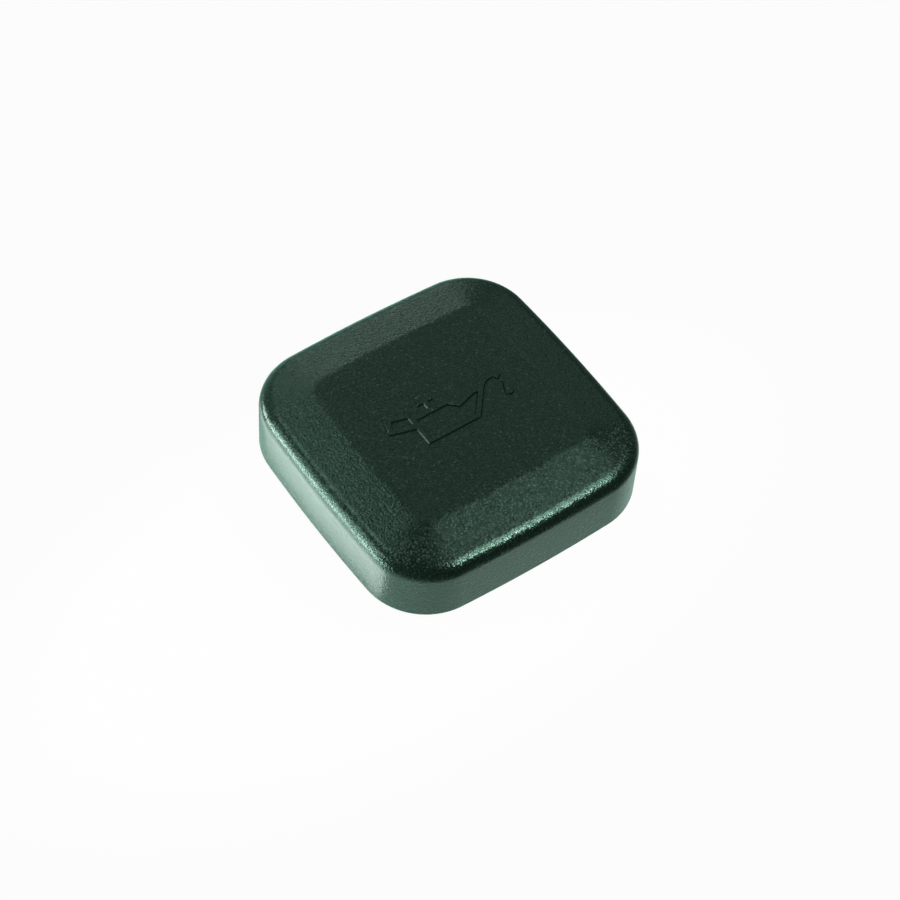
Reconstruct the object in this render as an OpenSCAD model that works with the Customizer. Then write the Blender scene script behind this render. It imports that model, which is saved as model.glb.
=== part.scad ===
/* [Cover] */
// Width of the square cover, measured across the middle of its sides
cover_w = 64; // [61:0.5:72]
// Radius of the corners in plan
corner_r = 15.4; // [12:0.1:18]
// Height from the lower edge of the skirt to the flat of the top
cover_h = 16.4; // [15.5:0.1:20]
// Wall thickness of the skirt, the shoulder and the top
cover_wall = 2.5; // [1.8:0.1:3]
// Radius of the rim where the skirt rolls over into the shoulder
rim_r = 3.7; // [3.3:0.1:4.5]
// Distance from the side of the cover in to the flat of the top
shoulder_w = 11.1; // [8:0.1:11.5]
// Fall of the sloping shoulder, in degrees
shoulder_slope = 11; // [6:0.5:14]
// Radius that softens the crease between the shoulder and the flat
crease_r = 6; // [4:0.5:9]
// Mould draft of the skirt, in degrees
skirt_draft = 0.4; // [0:0.1:1]
// Rounding of the lower edge of the skirt
skirt_edge_r = 0.6; // [0.3:0.1:1]
// Distance that the skirt hangs below the sealing plane
skirt_drop = 5; // [3:0.1:5.5]

/* [Collar and ribs under the cover] */
// Wall thickness of the collar that takes the flange of the plug
collar_wall = 1.5; // [1.2:0.1:1.8]
// Space between the collar and the inside of the skirt, at the middle of a side
collar_room = 2.05; // [1.5:0.05:4]
// Radial clearance between the collar and the flange
collar_gap = 0.15; // [0.05:0.05:0.3]
// Height of the lower edge of the collar and of its ribs above the sealing plane
collar_lift = 1; // [0.6:0.1:2]
// Thickness of the ribs between the collar and the skirt
rib_t = 1.3; // [0.8:0.1:1.8]
// Number of ribs in each corner of the cover
corner_ribs = 5; // [3:2:5]
// Angle between neighbouring ribs, in degrees
rib_pitch = 11; // [8:0.5:12]
// Space between the slotted crown and the ring under the top that bears on the flange
seat_room = 3.5; // [2:0.1:4.5]
// Wall thickness of that ring
seat_t = 1.6; // [1:0.1:2.4]

/* [Snap hooks of the collar] */
// Number of snap hooks, spread evenly from the middle of one side
hook_count = 4; // [2:2:4]
// Width of a snap hook
hook_w = 8; // [5:0.5:9]
// Radial clearance between the nose of a hook and the rim of the flange
hook_tip_gap = 0.1; // [0.05:0.05:0.3]
// Height of the nose of a hook
hook_nose_h = 1.7; // [1.2:0.1:2]
// Height of the slanted lead-in on the nose of a hook
hook_lead = 0.9; // [0.4:0.1:1.1]
// Clearance between the nose of a hook and the flange
hook_gap = 0.1; // [0.05:0.05:0.3]
// Width of the slit at each side of a hook
slit_w = 0.9; // [0.5:0.1:1.4]
// Height of solid collar left above the slits
slit_stop = 1.2; // [0.6:0.1:2]

/* [Drive between the cover and the plug] */
// Number of drive ribs under the top
drive_count = 4; // [2:1:6]
// Thickness of a drive rib
drive_t = 2; // [1.2:0.1:3]
// Clearance on each side of a drive rib in its slot
drive_gap = 0.15; // [0.05:0.05:0.4]
// Clearance above the crown and below the drive ribs
drive_end_gap = 0.6; // [0.3:0.1:1]
// Distance that a drive rib reaches in past the crown
drive_overrun = 3; // [1:0.5:6]
// Step from the bore of the tube out to the inside of the slotted crown on the plug
crown_step = 0.5; // [0:0.1:1.5]
// Wall thickness of the crown
crown_wall = 2.2; // [1.5:0.1:3]

/* [Bayonet plug] */
// Wall thickness of the tube at the lugs
tube_wall = 2.4; // [1.8:0.1:3]
// Step from the tube in to the pilot nose below the lugs
nose_step = 0.4; // [0.2:0.1:0.8]
// Depth of the end of the nose below the sealing plane
nose_depth = 13.4; // [11:0.1:18]
// Chamfer round the end of the nose
nose_chamfer = 0.8; // [0.3:0.1:1]
// Thickness of the flange's plate above the seal
plate_t = 2.2; // [1.6:0.1:2.6]
// Width of the step round the flange that the hooks catch
flange_step_w = 0.8; // [0.75:0.05:1]
// Height of that step above the sealing plane
flange_step_z = 2.4; // [2.2:0.1:2.8]
// Wall thickness of the rim outside the seal
rim_wall = 1.4; // [1:0.1:2]
// Height of the lower edge of the rim above the sealing plane
rim_lift = 1; // [0.6:0.1:1.2]

/* [Bayonet lugs] */
// Number of lugs
lug_count = 2; // [2:1:3]
// Distance that a lug reaches out from the tube
lug_reach = 2.8; // [1.8:0.1:3.2]
// Angle that a lug covers, in degrees
lug_arc = 54; // [42:1:64]
// Thickness of a lug
lug_t = 3.6; // [3:0.1:4.2]
// Thickness of the neck's lip that fits between the seal and the lugs
lip_t = 3.2; // [2.6:0.1:3.8]
// Slope of the lead-in ramp on top of a lug, in degrees
ramp_angle = 14; // [8:1:20]
// Angle of the lug that the ramp takes, in degrees
ramp_arc = 18; // [10:1:24]
// Height of the click bump on top of a lug
bump_h = 0.4; // [0.2:0.05:0.6]
// Radius of the click bump
bump_r = 1.1; // [0.8:0.1:1.4]
// Angle from the end stop to the click bump, in degrees
bump_back = 7; // [5:0.5:9]
// Angle that the end stop covers, in degrees
stop_arc = 6; // [3:1:10]

/* [Gussets inside the tube] */
// Number of gussets between the tube and the plate
gusset_count = 8; // [4:1:12]
// Thickness of a gusset
gusset_t = 1.2; // [0.8:0.1:1.6]
// Distance that a gusset reaches in from the tube
gusset_reach = 4.5; // [2:0.5:5]
// Height of a gusset along the tube
gusset_h = 6; // [3:0.5:8]

/* [Seal ring] */
// Height from the sealing plane to the roof of the seal's groove
seal_roof_z = 2.5; // [2.3:0.1:3]
// Thickness of the seal's body
seal_t = 1.6; // [1.2:0.1:1.8]
// Radial clearance of the seal in its groove
seal_gap = 0.15; // [0.05:0.05:0.3]
// Distance from the tube out to the raised land that touches the neck
land_in_room = 3.5; // [2:0.1:4]
// Width of the raised land at its face
land_w = 1.6; // [0.8:0.1:1.8]
// Distance from the raised land out to the rim of the flange
land_out_room = 1.1; // [0.9:0.1:2]
// Lean of the land's two flanks, in degrees
land_flank = 18; // [0:1:25]

/* [Hidden] */
$fn = 96;

// Length by which a piece that is joined or cut runs on past the other
run_on = 0.5;
// Steps of the rounded rim, crease and lower edge in the cover's profile
rim_steps = 10;
crease_steps = 3;
edge_steps = 3;
// Small chamfers on the rim of the flange and the mouth of the tube
edge_chamfer = 0.4;
// Radius beyond every corner of the cover
far_r = cover_w;

half_w = cover_w / 2;
corner_c = half_w - corner_r;
skirt_z = -skirt_drop;
top_z = skirt_z + cover_h;
roof_z = top_z - cover_wall;
plate_z = seal_roof_z + plate_t;
crown_z = roof_z - drive_end_gap;
// Radii, from the side of the cover in to the bore of the plug
collar_out_r = half_w - cover_wall - collar_room;
collar_in_r = collar_out_r - collar_wall;
flange_r = collar_in_r - collar_gap;
groove_r = flange_r - flange_step_w - rim_wall;
land_in_r = groove_r - land_out_room - land_w;
tube_r = land_in_r - land_in_room;
lug_r = tube_r + lug_reach;
nose_r = tube_r - nose_step;
tube_in_r = tube_r - tube_wall;
crown_in_r = tube_in_r + crown_step;
crown_r = crown_in_r + crown_wall;
seat_in_r = crown_r + seat_room;
seat_mid_r = seat_in_r + seat_t / 2;
lug_top_z = -lip_t;
lug_low_z = lug_top_z - lug_t;
nose_z = -nose_depth;

// Rounds to a thousandth, so that neighbouring surfaces share the very same edge
function even(v) = round(v * 1000) / 1000;

// Points along an arc about [x, y] from angle a0 to angle a1
function arc(x, y, r, a0, a1, steps) =
    [for (i = [0 : steps]) let (a = a0 + (a1 - a0) * i / steps) [x + r * cos(a), y + r * sin(a)]];

// The cover's profile as points of [distance in from the side, height].
// It starts inside at the foot, runs out and up the skirt, over the rim and up the shoulder
// to the flat. With in = 0 it is the outside, and otherwise a surface lying that far inside.
function cover_profile(in) =
    let (
        rise = (shoulder_w - rim_r * (1 - sin(shoulder_slope))) * tan(shoulder_slope),
        rim_z = top_z - rise - rim_r * cos(shoulder_slope),
        foot_z = in > 0 ? skirt_z - run_on : skirt_z,
        edge_z = skirt_z + skirt_edge_r,
        lean = (rim_z - (in > 0 ? foot_z : edge_z)) * tan(skirt_draft),
        crease = crease_r - in,
        crease_x = shoulder_w + crease_r * tan(shoulder_slope / 2)
    )
    concat(
        [[corner_r, foot_z]],
        in > 0 ? [[in - lean, foot_z]]
            : arc(skirt_edge_r - lean, edge_z, skirt_edge_r, 270, 180, edge_steps),
        arc(rim_r, rim_z, rim_r - in, 180, 90 + shoulder_slope, rim_steps),
        arc(crease_x, top_z - crease_r, crease, 90 + shoulder_slope, 90, crease_steps),
        [[corner_r, top_z - in]]
    );

// Carries the profile round the square: four straight sides, four round corners and the middle
module cover_form(in) {
    profile = cover_profile(in);
    side = [for (p = profile) [even(half_w - p[0]), even(p[1])]];
    corner = [for (p = profile) [even(corner_r - p[0]), even(p[1])]];
    foot_z = profile[0][1];
    for (k = [0 : 3])
        rotate([0, 0, 90 * k]) {
            translate([0, corner_c, 0])
                rotate([90, 0, 0])
                    linear_extrude(2 * corner_c)
                        polygon(side);
            translate([corner_c, corner_c, 0])
                rotate_extrude(angle = 90)
                    polygon(corner);
        }
    translate([0, 0, foot_z])
        linear_extrude(top_z - in - foot_z)
            square(2 * corner_c, center = true);
}

// Ring between two radii and two heights
module ring(in_r, out_r, low_z, high_z) {
    translate([0, 0, low_z])
        linear_extrude(high_z - low_z)
            difference() {
                circle(out_r);
                circle(in_r);
            }
}

// Upright blade that runs out from the axis, centred on an angle
module blade(angle, in_r, out_r, thick, low_z, high_z) {
    rotate([0, 0, angle])
        translate([in_r, -thick / 2, low_z])
            cube([out_r - in_r, thick, high_z - low_z]);
}

// Collar with its snap hooks, each set free by a slit at either side
module collar() {
    nose_high = flange_step_z - hook_gap;
    nose_low = nose_high - hook_nose_h;
    tip_r = groove_r + rim_wall + hook_tip_gap;
    nose = [
        [collar_out_r, nose_low],
        [collar_in_r, nose_low],
        [tip_r, nose_low + hook_lead],
        [tip_r, nose_high],
        [collar_in_r, nose_high],
        [collar_in_r, nose_high + run_on],
        [collar_out_r, nose_high + run_on]
    ];
    difference() {
        ring(collar_in_r, collar_out_r, collar_lift, top_z);
        for (k = [0 : hook_count - 1], side = [-1, 1])
            rotate([0, 0, 360 / hook_count * k])
                translate([collar_in_r - run_on, side * (hook_w + slit_w) / 2 - slit_w / 2, skirt_z])
                    cube([collar_wall + 2 * run_on, slit_w, roof_z - slit_stop - skirt_z]);
    }
    intersection() {
        rotate_extrude()
            polygon(nose);
        for (k = [0 : hook_count - 1])
            blade(360 / hook_count * k, seat_mid_r, far_r, hook_w, nose_low, plate_z);
    }
}

// Everything that stands inside the cover: collar, ribs, bearing ring and drive ribs
module cover_inside() {
    collar();
    ring(seat_in_r, seat_in_r + seat_t, plate_z, top_z);
    for (k = [0 : 3], i = [0 : corner_ribs - 1])
        blade(
            45 + 90 * k + (i - (corner_ribs - 1) / 2) * rib_pitch,
            collar_in_r + collar_wall / 2, far_r, rib_t, collar_lift, top_z
        );
    for (k = [0 : drive_count - 1])
        blade(
            360 / drive_count * (k + 0.5),
            crown_in_r - drive_overrun, seat_mid_r, drive_t, plate_z + drive_end_gap, top_z
        );
}

// Moulded cover: its outside, hollowed by a cavity that leaves the inner features standing
module cover() {
    color([0.13, 0.2, 0.17])
        difference() {
            cover_form(0);
            difference() {
                cover_form(cover_wall);
                cover_inside();
            }
        }
}

// One lug: lead-in ramp at its front, level dwell, click bump, and end stop at its back
module lug() {
    front = -lug_arc / 2;
    back = lug_arc / 2;
    difference() {
        rotate_extrude(angle = lug_arc, start = front)
            polygon([
                [tube_in_r + run_on, lug_low_z],
                [lug_r - edge_chamfer, lug_low_z],
                [lug_r, lug_low_z + edge_chamfer],
                [lug_r, lug_top_z],
                [tube_in_r + run_on, lug_top_z]
            ]);
        rotate([0, 0, front + ramp_arc])
            translate([tube_in_r, 0, lug_top_z])
                rotate([ramp_angle, 0, 0])
                    translate([0, -lug_r, 0])
                        cube([lug_r, lug_r, lug_t]);
    }
    rotate([0, 0, back - stop_arc - bump_back])
        translate([tube_in_r + run_on, 0, lug_top_z + bump_h - bump_r])
            rotate([0, 90, 0])
                cylinder(r = bump_r, h = lug_r - edge_chamfer - tube_in_r - run_on);
    rotate_extrude(angle = stop_arc, start = back - stop_arc)
        translate([tube_in_r + run_on, lug_top_z - run_on])
            square([lug_r - tube_in_r - run_on, lip_t + run_on]);
}

// Flange with the seal's groove, and the tube with its pilot nose, as one turned profile
module plug_body() {
    rotate_extrude()
        polygon([
            [0, seal_roof_z],
            [tube_in_r, seal_roof_z],
            [tube_in_r, nose_z + edge_chamfer],
            [tube_in_r + edge_chamfer, nose_z],
            [nose_r - nose_chamfer, nose_z],
            [nose_r, nose_z + nose_chamfer],
            [nose_r, lug_low_z - (tube_r - nose_r)],
            [tube_r, lug_low_z],
            [tube_r, seal_roof_z],
            [groove_r, seal_roof_z],
            [groove_r, rim_lift],
            [groove_r + rim_wall, rim_lift],
            [groove_r + rim_wall, flange_step_z],
            [flange_r, flange_step_z],
            [flange_r, plate_z - edge_chamfer],
            [flange_r - edge_chamfer, plate_z],
            [0, plate_z]
        ]);
}

// Bayonet plug: flange, tube, lugs and gussets, with a slotted crown that the cover drives
module bayonet_plug() {
    color([0.1, 0.1, 0.1]) {
        plug_body();
        for (k = [0 : lug_count - 1])
            rotate([0, 0, 90 + 360 / lug_count * k])
                lug();
        for (k = [0 : gusset_count - 1])
            rotate([0, 0, 360 / gusset_count * (k + 0.5)])
                translate([0, gusset_t / 2, 0])
                    rotate([90, 0, 0])
                        linear_extrude(gusset_t)
                            polygon([
                                [tube_in_r - gusset_reach, seal_roof_z + run_on],
                                [tube_in_r - gusset_reach, seal_roof_z],
                                [tube_in_r, seal_roof_z - gusset_h],
                                [tube_in_r + run_on, seal_roof_z - gusset_h],
                                [tube_in_r + run_on, seal_roof_z + run_on]
                            ]);
        difference() {
            ring(crown_in_r, crown_r, plate_z - run_on, crown_z);
            for (k = [0 : drive_count - 1])
                blade(
                    360 / drive_count * (k + 0.5),
                    crown_in_r - run_on, crown_r + run_on, drive_t + 2 * drive_gap, plate_z, roof_z
                );
        }
    }
}

// Seal ring: flat body in the groove, with a raised land that presses on the neck
module seal_ring() {
    in_r = tube_r + seal_gap;
    out_r = groove_r - seal_gap;
    body_z = seal_roof_z - seal_t;
    spread = body_z * tan(land_flank);
    color([0.05, 0.05, 0.05])
        rotate_extrude()
            polygon([
                [in_r, body_z],
                [land_in_r - spread, body_z],
                [land_in_r, 0],
                [land_in_r + land_w, 0],
                [land_in_r + land_w + spread, body_z],
                [out_r, body_z],
                [out_r, seal_roof_z],
                [in_r, seal_roof_z]
            ]);
}

cover();
bayonet_plug();
seal_ring();
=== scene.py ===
"""Oil filler cap: square moulded cover with a raised oil-can pictogram, bayonet plug and seal ring."""

import logging
import math
from dataclasses import dataclass, field
from enum import Enum

import bpy
import numpy as np
from mathutils import Matrix, Vector


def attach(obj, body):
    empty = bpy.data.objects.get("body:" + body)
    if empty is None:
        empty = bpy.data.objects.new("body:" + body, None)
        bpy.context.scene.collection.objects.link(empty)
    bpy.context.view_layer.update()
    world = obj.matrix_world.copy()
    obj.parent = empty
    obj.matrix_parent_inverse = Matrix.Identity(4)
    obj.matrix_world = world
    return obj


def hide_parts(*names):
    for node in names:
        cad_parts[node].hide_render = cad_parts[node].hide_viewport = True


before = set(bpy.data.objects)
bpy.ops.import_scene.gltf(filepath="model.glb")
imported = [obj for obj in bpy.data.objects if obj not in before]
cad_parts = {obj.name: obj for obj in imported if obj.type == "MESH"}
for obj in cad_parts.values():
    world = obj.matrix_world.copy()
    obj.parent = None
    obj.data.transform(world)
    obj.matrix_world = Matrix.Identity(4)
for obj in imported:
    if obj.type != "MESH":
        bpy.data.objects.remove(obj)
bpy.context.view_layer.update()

MM = 0.001
log = logging.getLogger("oil_filler_cap")


# ---- shapes worked out as arrays

def sweep(centre: tuple[float, float], radius: float, start: float, stop: float, steps: int) -> np.ndarray:
    """Gives points along a circular arc: centre plus radius times the cosine and sine of an even run of angles.

    Args:
        centre: Centre of the arc.
        radius: Radius of the arc.
        start: First angle, in degrees.
        stop: Last angle, in degrees.
        steps: Number of steps between the two.

    Returns:
        An array of (steps + 1, 2) points.
    """
    angle = np.radians(np.linspace(start, stop, steps + 1))
    return np.stack([centre[0] + radius * np.cos(angle), centre[1] + radius * np.sin(angle)], axis=1)


def between(first: np.ndarray, last: np.ndarray, steps: int, gap: float = 0.12) -> np.ndarray:
    """Gives the inner points of a straight run: first plus a share of the way, evenly from gap to gap.

    Args:
        first: Point where the run starts.
        last: Point where the run ends.
        steps: Number of inner points, at least two.
        gap: Distance of the outermost inner points from the ends.

    Returns:
        An array of (steps, 2) points that leaves both ends out.
    """
    way = np.asarray(last) - np.asarray(first)
    gap_share = gap / float(np.linalg.norm(way))
    share = np.linspace(gap_share, 1 - gap_share, steps)
    return np.asarray(first) + share[:, None] * way


def rounded(corners: np.ndarray, radius: np.ndarray, steps: int = 4) -> np.ndarray:
    """Rounds each corner of a closed outline by the arc that touches both its sides.

    The arc's points are its centre plus a radius that turns from the one side's touching point to the other's.

    Args:
        corners: Corner points, (n, 2).
        radius: Radius of each corner, or one for all.
        steps: Number of steps in each arc.

    Returns:
        The closed outline, (n * (steps + 1), 2).
    """
    corners = np.asarray(corners, float)
    radius = np.broadcast_to(np.asarray(radius, float), len(corners))
    back = np.roll(corners, 1, axis=0) - corners
    ahead = np.roll(corners, -1, axis=0) - corners
    back /= np.linalg.norm(back, axis=1)[:, None]
    ahead /= np.linalg.norm(ahead, axis=1)[:, None]
    half = 0.5 * np.arccos(np.clip((back * ahead).sum(1), -1, 1))
    middle = back + ahead
    middle /= np.linalg.norm(middle, axis=1)[:, None]
    centre = corners + middle * (radius / np.sin(half))[:, None]
    reach = (radius / np.tan(half))[:, None]
    out = corners + back * reach - centre
    end = corners + ahead * reach - centre
    turn = (math.pi - 2 * half)[:, None]
    share = np.linspace(0, 1, steps + 1)[None, :]
    w0 = np.sin((1 - share) * turn) / np.sin(turn)
    w1 = np.sin(share * turn) / np.sin(turn)
    points = centre[:, None, :] + w0[:, :, None] * out[:, None, :] + w1[:, :, None] * end[:, None, :]
    return points.reshape(-1, 2)


def drawn_in(outline: np.ndarray, inset: np.ndarray) -> np.ndarray:
    """Moves a closed outline inwards: each point goes along the mean of its two sides' normals.

    Args:
        outline: Closed outline that runs anticlockwise, (m, 2).
        inset: Distance for each copy, (k,).

    Returns:
        The copies, (k, m, 2).
    """
    along = np.roll(outline, -1, axis=0) - np.roll(outline, 1, axis=0)
    inward = np.stack([-along[:, 1], along[:, 0]], axis=1)
    inward /= np.linalg.norm(inward, axis=1)[:, None]
    return outline[None] + np.asarray(inset)[:, None, None] * inward[None]


def anticlockwise(outline: np.ndarray) -> np.ndarray:
    """Turns a closed outline to run anticlockwise, by the sign of its area.

    Args:
        outline: Closed outline, (m, 2).

    Returns:
        The outline, turned round if need be.
    """
    nxt = np.roll(outline, -1, axis=0)
    area = (outline[:, 0] * nxt[:, 1] - nxt[:, 0] * outline[:, 1]).sum()
    return outline if area > 0 else outline[::-1]


def rounded_ends(length: float, radius: float, inner: int, steps: int = 4) -> tuple[np.ndarray, np.ndarray]:
    """Gives the stations of a piece whose ends are rounded: along a quarter circle, straight, and a quarter circle.

    Args:
        length: Length of the piece.
        radius: Rounding of its two ends.
        inner: Number of stations on the straight run.
        steps: Steps in each quarter circle.

    Returns:
        Distances along the piece, and how far its section is drawn in at each.
    """
    quarter = np.radians(np.linspace(0, 90, steps + 1))
    rise = radius * (1 - np.cos(quarter))
    inset = radius * (1 - np.sin(quarter))
    straight = np.linspace(radius, length - radius, inner + 2)[1:-1]
    return (
        np.concatenate([rise, straight, length - rise[::-1]]),
        np.concatenate([inset, np.zeros(inner), inset[::-1]]),
    )


class Shells:
    """Closed shells of one moulding, gathered as arrays and joined in one mesh."""

    def __init__(self, name: str) -> None:
        """Starts with no shell.

        Args:
            name: Name of the moulding.
        """
        self.name = name
        self.points: list[np.ndarray] = []
        self.quads: list[np.ndarray] = []
        self.triangles: list[np.ndarray] = []
        self.count = 0

    def add(self, points: np.ndarray, quads: np.ndarray, triangles: np.ndarray) -> None:
        """Adds a closed shell, turned outwards by the sign of its volume.

        Args:
            points: Corner points in millimetres, (n, 3).
            quads: Corners of its four-sided faces, (q, 4).
            triangles: Corners of its three-sided faces, (t, 3).
        """
        quads, triangles = np.asarray(quads).reshape(-1, 4), np.asarray(triangles).reshape(-1, 3)
        halves = np.concatenate([quads[:, :3], quads[:, [0, 2, 3]], triangles])
        a, b, c = points[halves[:, 0]], points[halves[:, 1]], points[halves[:, 2]]
        if float((a * np.cross(b, c)).sum()) < 0:
            quads, triangles = quads[:, ::-1], triangles[:, ::-1]
        self.points.append(points)
        self.quads.append(quads + self.count)
        self.triangles.append(triangles + self.count)
        self.count += len(points)

    def loft(self, rings: np.ndarray, closed: bool = False) -> None:
        """Adds the shell over closed rings, each joined to the next, with both ends closed round a middle point.

        Args:
            rings: The rings' points in millimetres, (n, m, 3).
            closed: True if the last ring joins the first one, as on a torus.
        """
        n, m = rings.shape[:2]
        index = np.arange(n * m).reshape(n, m)
        a, b = (index, np.roll(index, -1, axis=0)) if closed else (index[:-1], index[1:])
        quads = np.stack([a, np.roll(a, -1, axis=1), np.roll(b, -1, axis=1), b], axis=-1).reshape(-1, 4)
        points = rings.reshape(-1, 3)
        triangles = np.zeros((0, 3), int)
        if not closed:
            points = np.concatenate([points, rings[:1].mean(axis=1), rings[-1:].mean(axis=1)])
            first, last = index[0], index[-1]
            triangles = np.concatenate([
                np.stack([np.roll(first, -1), first, np.full(m, n * m)], axis=1),
                np.stack([last, np.roll(last, -1), np.full(m, n * m + 1)], axis=1),
            ])
        self.add(points, quads, triangles)

    def ring(self, section: np.ndarray, steps: int = 128) -> None:
        """Adds a full ring: a closed section of (radius, height) turned once round the axis."""
        angle = np.linspace(0, 2 * math.pi, steps, endpoint=False)
        self.loft(turned(section[None], angle), closed=True)

    def arc(self, section: np.ndarray, start: float, stop: float, edge: float = 0.2, inner: int = 12) -> None:
        """Adds a piece of a ring: a section of (radius, height) turned between two angles, with rounded ends.

        Args:
            section: Closed section, (m, 2).
            start: First angle, in degrees.
            stop: Last angle, in degrees.
            edge: Rounding of its ends.
            inner: Stations between its rounded ends.
        """
        section = anticlockwise(section)
        radius = section[:, 0].max()
        length = math.radians(stop - start) * radius
        along, inset = rounded_ends(length, edge, inner)
        self.loft(turned(drawn_in(section, inset), math.radians(start) + along / radius))

    def plate(self, section: np.ndarray, thick: float, angle: float, edge: float = 0.25) -> None:
        """Adds an upright plate that runs out from the axis, with its edges rounded.

        Args:
            section: Its closed outline of (distance from the axis, height), (m, 2).
            thick: Its thickness.
            angle: Its direction, in degrees.
            edge: Rounding of its edges.
        """
        section = anticlockwise(section)
        across, inset = rounded_ends(thick, min(edge, thick * 0.48), 1)
        copies = drawn_in(section, inset)
        side = np.broadcast_to((across - thick / 2)[:, None], copies.shape[:2])
        c, s = math.cos(math.radians(angle)), math.sin(math.radians(angle))
        x, z = copies[..., 0], copies[..., 1]
        self.loft(np.stack([x * c - side * s, x * s + side * c, z], axis=-1))

    def pad(self, centre: tuple[float, float], radius: float, low: float, high: float, edge: float = 0.06) -> None:
        """Adds a low round pad with a softened rim: circles of shrinking radius, stacked from low to high.

        Args:
            centre: Its centre.
            radius: Its radius.
            low: Height that it stands on.
            high: Height of its face.
            edge: Rounding of its rim.
        """
        z = low + (high - low) * np.array([0, 0.4, 0.75, 1, 1])[:, None]
        r = np.array([radius, radius, radius - edge * 0.3, radius - edge, radius * 0.5])[:, None]
        angle = np.linspace(0, 2 * math.pi, 40, endpoint=False)
        x, y = centre[0] + r * np.cos(angle), centre[1] + r * np.sin(angle)
        self.loft(np.stack([x, y, np.broadcast_to(z, x.shape)], axis=-1))

    def build(self) -> bpy.types.Object:
        """Puts all the shells into one smooth mesh and links its object.

        Returns:
            The object.
        """
        points = np.concatenate(self.points) * MM
        faces = [*np.concatenate(self.quads).tolist(), *np.concatenate(self.triangles).tolist()]
        mesh = bpy.data.meshes.new(self.name)
        mesh.from_pydata(points.tolist(), [], faces)
        mesh.validate()
        mesh.polygons.foreach_set("use_smooth", np.ones(len(mesh.polygons), bool))
        mesh.update()
        made = bpy.data.objects.new(self.name, mesh)
        bpy.context.scene.collection.objects.link(made)
        return made


def turned(sections: np.ndarray, angle: np.ndarray) -> np.ndarray:
    """Turns sections of (radius, height) to their angles: x is radius times cosine, and y is radius times sine.

    Args:
        sections: One section for each angle, or one for all, (n or 1, m, 2).
        angle: The angles, (n,).

    Returns:
        The points, (n, m, 3).
    """
    sections = np.broadcast_to(sections, (len(angle), *sections.shape[1:]))
    radius, z = sections[..., 0], sections[..., 1]
    return np.stack([radius * np.cos(angle)[:, None], radius * np.sin(angle)[:, None], z], axis=-1)


# ---- shader maths

class Operation(Enum):
    """What a Math node works out."""

    ADD = "ADD"
    SUBTRACT = "SUBTRACT"
    MULTIPLY = "MULTIPLY"


class Signal:
    """Wraps one output socket, so that shader maths reads as Python."""

    def __init__(self, shader: "Shader", socket: bpy.types.NodeSocket) -> None:
        """Keeps the socket and the material that it belongs to."""
        self.shader, self.socket = shader, socket

    def _math(self, operation: Operation, *values: object, clamp: bool = False) -> "Signal":
        """Adds one Math node on these values."""
        settings = {"operation": operation.value, "use_clamp": clamp}
        return self.shader.node("ShaderNodeMath", settings, dict(enumerate(values)))

    def __add__(self, other: object) -> "Signal":
        """Adds."""
        return self._math(Operation.ADD, self, other)

    def __sub__(self, other: object) -> "Signal":
        """Takes away."""
        return self._math(Operation.SUBTRACT, self, other)

    def __rsub__(self, other: object) -> "Signal":
        """Takes this from a number."""
        return self._math(Operation.SUBTRACT, other, self)

    def __mul__(self, other: object) -> "Signal":
        """Multiplies."""
        return self._math(Operation.MULTIPLY, self, other)

    __radd__ = __add__
    __rmul__ = __mul__

    def above(self, low: float, high: float) -> "Signal":
        """Gives 0 below low and 1 above high, with a straight ramp between them."""
        return self._math(Operation.MULTIPLY, self - low, 1.0 / (high - low), clamp=True)

    def beside(self, output: str) -> "Signal":
        """Gives another output of the same node."""
        return Signal(self.shader, self.socket.node.outputs[output])


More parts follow.
